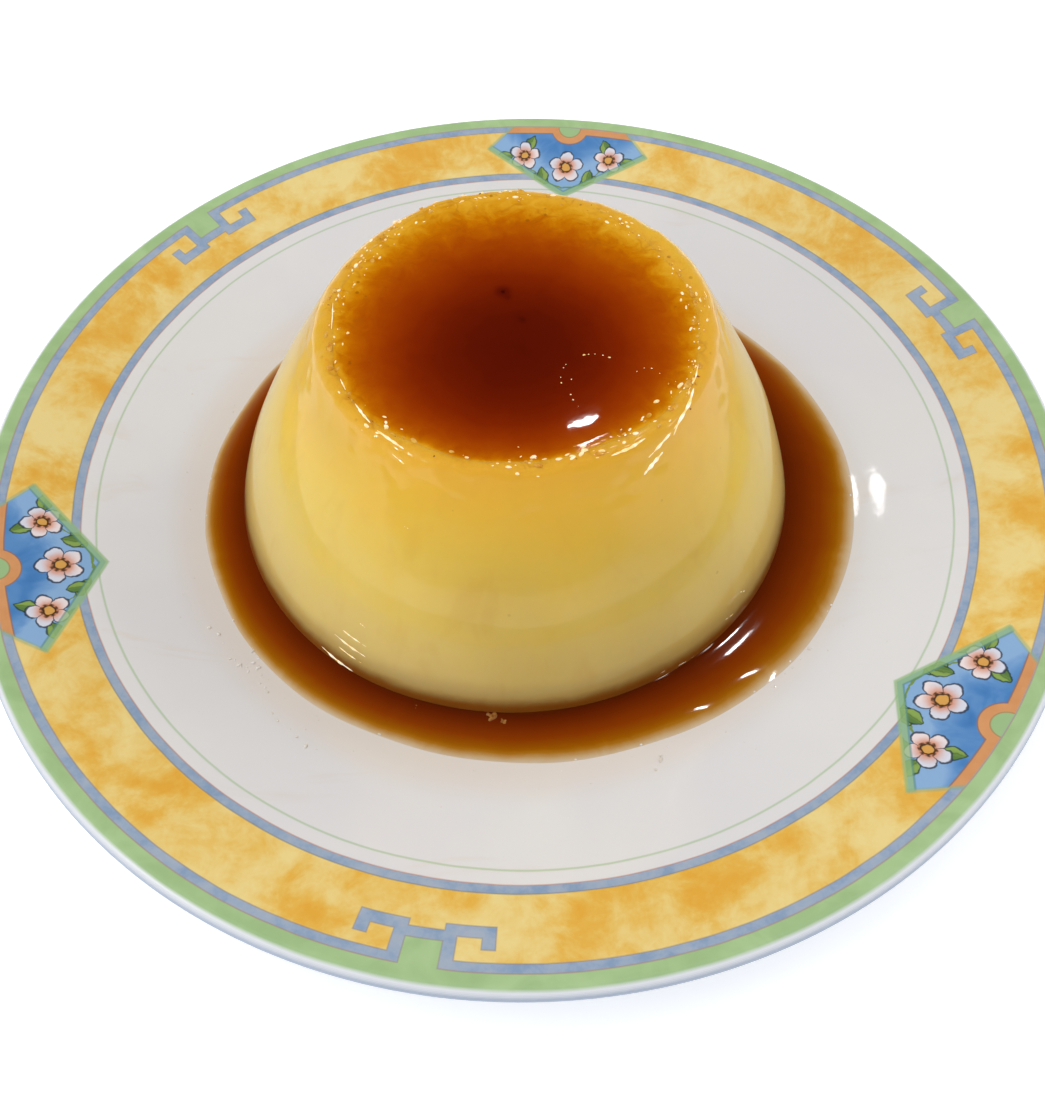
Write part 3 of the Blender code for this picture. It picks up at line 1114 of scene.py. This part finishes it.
def ring_places(chance, count, mean, scatter, sizes, crowding):
    """Places for grains along the syrup's edge, thicker in some stretches as crowding nears 1."""
    places = []
    while len(places) < count:
        angle = chance.uniform(0, 2 * math.pi)
        crowd = math.sin(3 * angle + 0.6) * math.sin(5 * angle + 2.0) > -0.1
        if not crowd and chance.uniform() < crowding:
            continue
        size = MM * min(sizes[0] + chance.exponential(sizes[1]), sizes[2])
        middle = on_top(angle, chance.normal(mean, scatter) * MM)
        grain_sizes = (size * 0.85, size * chance.uniform(1.0, 2.2), size * 0.7)
        places.append((middle, grain_sizes, angle + chance.normal(0, 0.3)))
    return places


def top_beads():
    """Beads along the line where the syrup meets the custard, and strings of bubbles in the syrup. The froth
    beads and the bubbles are near white and glow, as painted glints; the amber beads do not glow.
    """
    chance = np.random.default_rng(11)
    # Painted glints: these pale, glowing beads stand in for the highlights along the wet edge.
    froth_with_painted_glints = bead_film("froth beads", "F6CE7C", "FFF3CE", 0.05, glow=0.30)
    places = ring_places(chance, 210, -0.1, 0.9, (0.08, 0.09, 0.34), 0.7)
    for x, y, reach, start, end, count in BUBBLE_STRINGS:
        for step in range(count):
            angle = math.radians(start + (end - start) * (step + chance.uniform(-0.3, 0.3)) / count)
            size = MM * chance.uniform(0.07, 0.17)
            spot = np.array([x + reach * math.cos(angle), y + reach * math.sin(angle), 0]) * MM
            spot[2] = TOP_LEVEL + WELL_FLOOR
            places.append((leaned(spot), (size, size * 1.3, size * 0.6), angle))
    scattered("froth_beads", places, froth_with_painted_glints, "caramel", seed=12)
    amber = bead_film("amber beads", "DA9220", "F2BE58", 0.05)
    places = ring_places(chance, 90, 0.0, 0.8, (0.14, 0.12, 0.5), 0.5)
    places = [(middle, (sizes[0], sizes[1], 0.5 * sizes[2]), turn) for middle, sizes, turn in places]
    scattered("amber_beads", places, amber, "caramel", seed=13)


def top_flecks():
    """Dark specks of burnt sugar in the shallow syrup and on the shoulder."""
    chance = np.random.default_rng(23)
    places = []
    for _ in range(150):
        angle = chance.uniform(0, 2 * math.pi)
        past = chance.normal(-1.8, 1.5) * MM
        size = MM * chance.uniform(0.06, 0.15)
        middle = on_top(angle, past) - np.array([0, 0, 0.4 * size])
        sizes = (size, size * chance.uniform(1.0, 2.4), size * 0.6)
        places.append((middle, sizes, chance.uniform(0, math.pi)))
    burnt = bead_film("burnt sugar specks", "8A4410", "A8661C", 0.25)
    return scattered("burnt_sugar_specks", places, burnt, "caramel", seed=24)


def pool_beads():
    """Small bubbles along the pool's outer edge, and drops that splashed on the plate beyond it."""
    chance = np.random.default_rng(31)
    places = []
    foot = flan_foot()

    def add_drop(angle, past, size, flat):
        radius = float(pool_edge(np.array([angle]))[0]) + past
        x, y = foot[0] + radius * math.cos(angle), foot[1] + radius * math.sin(angle)
        floor = float(plate_top(math.hypot(x, y)))
        sizes = (size, size * chance.uniform(1.0, 1.6), size * flat)
        places.append(((x, y, floor + size * 0.3), sizes, angle))

    for _ in range(90):
        sides = [chance.uniform(150, 250), chance.uniform(250, 400)]
        angle = math.radians(chance.choice(sides, p=[0.6, 0.4]))
        add_drop(angle, chance.normal(-0.7, 0.4) * MM, MM * chance.uniform(0.09, 0.20), 0.9)
    for _ in range(60):
        angle = math.radians(chance.uniform(130, 330))
        add_drop(angle, (1.0 + chance.exponential(4.0)) * MM, MM * chance.uniform(0.05, 0.12), 0.6)
    for x, y, x_end, y_end, count in DRIPS:
        for share in np.linspace(0, 1, count):
            spot = np.array([x + (x_end - x) * share, y + (y_end - y) * share]) * MM
            spot = spot + chance.normal(0, 0.25 * MM, 2)
            size = MM * chance.uniform(0.10, 0.30)
            floor = float(plate_top(math.hypot(*spot)))
            sizes = (size, size * chance.uniform(1.0, 1.8), 0.6 * size)
            places.append(((*spot, floor + 0.2 * size), sizes, chance.uniform(0, math.pi)))
    clear = bead_film("clear drops", "E4DACB", "FAF8F4", 0.05)
    return scattered("syrup_drops", places, clear, "caramel", seed=32)


def crumbs():
    """Scraps of custard that lie in the syrup at the flan's foot."""
    chance = np.random.default_rng(41)
    places = []
    for x, y, size in CRUMBS:
        for _ in range(5):
            spot = np.array([x, y]) * MM + chance.normal(0, 0.4 * size, 2) * MM
            sizes = MM * size * chance.uniform(0.22, 0.52, 3) * (1.0, 1.0, 0.5)
            middle = (*spot, WELL_FLOOR + POOL_LEVEL - 0.08 * MM)
            places.append((middle, tuple(sizes), chance.uniform(0, math.pi)))
    scraps = bead_film("custard scraps", "8A4C14", "B07A38", 0.2)
    return scattered("custard_crumbs", places, scraps, "custard", seed=42, uneven=0.3)


def ridge(path, thickness):
    """Points and faces of a closed ridge that tapers to both ends of a path. It is thickest in its middle."""
    along = path_length(path[:, 0], path[:, 1]) + 1e-3 * path_length(path[:, 0], path[:, 2])
    shares = np.linspace(0, 1, 40)
    places = np.stack([np.interp(shares * along[-1], along, path[:, axis]) for axis in range(3)], axis=-1)
    for _ in range(6):
        places[1:-1] = (places[:-2] + 2 * places[1:-1] + places[2:]) / 4
    heading = np.gradient(places, axis=0)
    heading /= np.linalg.norm(heading, axis=1)[:, None]
    outward = np.cross(heading, np.cross([0, 0, 1], heading))
    outward /= np.linalg.norm(outward, axis=1)[:, None]
    sideways = np.cross(heading, outward)
    girth = thickness * (np.sin(shares * math.pi) ** 0.6 * (0.8 + 0.2 * np.sin(shares * 23)) + 0.02)
    turns = circle_of(10)
    across, up = np.cos(turns)[:, None], 0.8 * np.sin(turns)[:, None]
    rings = places[:, None] + girth[:, None, None] * (across * sideways[:, None] + up * outward[:, None])
    last = 10 * (len(shares) - 1)
    sides = [[face[0], *face[:0:-1]] for face in tube_faces(len(shares), 10)]
    return rings.reshape(-1, 3), sides + [list(range(10)), list(range(last + 9, last - 1, -1))]


def film_folds():
    """Folds of wet film that wrinkle over the flan's shoulder and its side, near white and glowing: painted
    highlights.
    """
    points, faces, count = [], [], 0
    folds = [(on_top, fold) for fold in SHOULDER_FOLDS] + [(on_side, fold) for fold in SIDE_RIDGES_AS_PAINTED_GLINTS]
    for place, (thickness, *stops) in folds:
        spots = np.array([place(math.radians(angle), along * MM) for angle, along in stops])
        ridge_points, ridge_faces = ridge(spots, thickness * MM)
        points.append(ridge_points)
        faces += [[corner + count for corner in face] for face in ridge_faces]
        count += len(ridge_points)
    mesh = new_mesh("film_folds", np.concatenate(points), faces)
    # Painted highlights: the folds are near white and glow.
    film = bead_film("film folds", "F6D684", "FFF8E2", 0.04, glow=0.35)
    return stands_for(new_piece(mesh, film), "custard")


# ---- studio


def direction(x, y, z):
    return Vector((x, y, z)).normalized()


def softbox(name, towards, distance, size, power, roll=0.0, glossy=False, diffuse=True):
    """An area lamp in a direction from the flan, turned to face it."""
    data = bpy.data.lights.new(name, "AREA")
    data.shape = "ELLIPSE" if "lamp" in name else "RECTANGLE"
    data.size, data.size_y = size
    data.energy = power
    lamp = new_object(name, data)
    lamp.location = Vector((0, 0, 0.02)) + towards * distance
    lamp.rotation_mode = "QUATERNION"
    lamp.rotation_quaternion = towards.to_track_quat("Z", "Y") @ Quaternion((0, 0, 1), math.radians(roll))
    lamp.visible_glossy = glossy
    lamp.visible_diffuse = diffuse
    lamp.visible_camera = False


def window(name, towards, size, brightness, distance=1.2, roll=0.0):
    """A bright window or bare lamp that shows in wet and glazed surfaces as a highlight."""
    power = math.pi * size[0] * size[1] * brightness
    softbox(name, towards, distance, size, power, roll, glossy=True, diffuse=False)


def studio():
    softbox("key softbox", direction(-0.38, 0.05, 0.92), 1.5, (1.1, 1.1), 10.0)
    softbox("fill softbox", direction(0.8, 0.45, 0.6), 1.6, (0.9, 0.9), 3.4)
    softbox("low left softbox", direction(-0.90, -0.42, 0.20), 1.5, (0.7, 0.7), 3.0)
    softbox("low right softbox", direction(1.0, -0.05, 0.20), 1.5, (0.7, 0.7), 2.5)
    window("near back lamp", direction(0.020, 0.123, 0.191), (0.0100, 0.0024), 60.0, 0.228, roll=24)
    window("small right lamp", direction(0.550, 0.426, 0.507), (0.0046, 0.0044), 9.0, 0.087)
    for towards in ((0.277, 0.391, 0.878), (0.481, 0.080, 0.873), (0.413, -0.072, 0.908)):
        window("ceiling lamp", direction(*towards), (0.022, 0.050), 70.0)
    for side in (-1, 1):
        pane = direction(-0.70, -0.34, 0.63) + Vector((0.0, 0.0, 0.026 * side))
        window("left window pane", pane.normalized(), (0.10, 0.034), 110.0)
    window("right window", direction(0.88, -0.12, 0.44), (0.12, 0.10), 9.0)

    world = bpy.data.worlds.new("soft white room")
    world.use_nodes = True
    bpy.context.scene.world = world
    Drawing.tree = world.node_tree
    room = world.node_tree.nodes["Background"]
    room.inputs["Color"].default_value = linear("FAFAFF")
    room.inputs["Strength"].default_value = 0.52
    rise = split(add("ShaderNodeTexCoord").outputs["Generated"])[2]
    glow = spread(rise, 0.58, 0.12, 0.02, 0.38)
    mirrored = add("ShaderNodeBackground", {"Color": linear("FAFAFF"), "Strength": glow})
    seen_in_gloss = add("ShaderNodeLightPath").outputs["Is Glossy Ray"]
    both = add("ShaderNodeMixShader", {0: seen_in_gloss, 1: room.outputs[0], 2: mirrored.outputs[0]})
    feed(world.node_tree.nodes["World Output"].inputs["Surface"], both.outputs[0])

    bpy.ops.mesh.primitive_plane_add(size=6.0)
    table = bpy.context.object
    table.name = "pale_table"
    white, shader = new_material("pale table", Roughness=0.9, Emission_Strength=0.42)
    tone = mix(group(cloudy_tone, object_place(), Scale=6.0), "FAFAFA", "FCFCFC")
    dress(shader, Base_Color=tone, Emission_Color=(1.0, 0.975, 0.93, 1))
    table.data.materials.append(white)
    bpy.context.scene.view_settings.view_transform = "Standard"


def camera():
    data = bpy.data.cameras.new("camera")
    data.sensor_width = 36.0
    data.lens = 36.35
    eye = new_object("camera", data)
    eye.location = (0.0, -0.12142, 0.15946)
    sight = Vector((-0.00222, 0.56896, -0.82236))
    dip = math.radians(-1.29)
    eye.rotation_mode = "QUATERNION"
    eye.rotation_quaternion = sight.to_track_quat("-Z", "Y") @ Quaternion((0, 0, 1), dip)
    data.clip_start = 0.01
    bpy.context.scene.camera = eye


plate()
custard()
top_syrup()
syrup_pool()
top_beads()
top_flecks()
pool_beads()
crumbs()
film_folds()
studio()
camera()
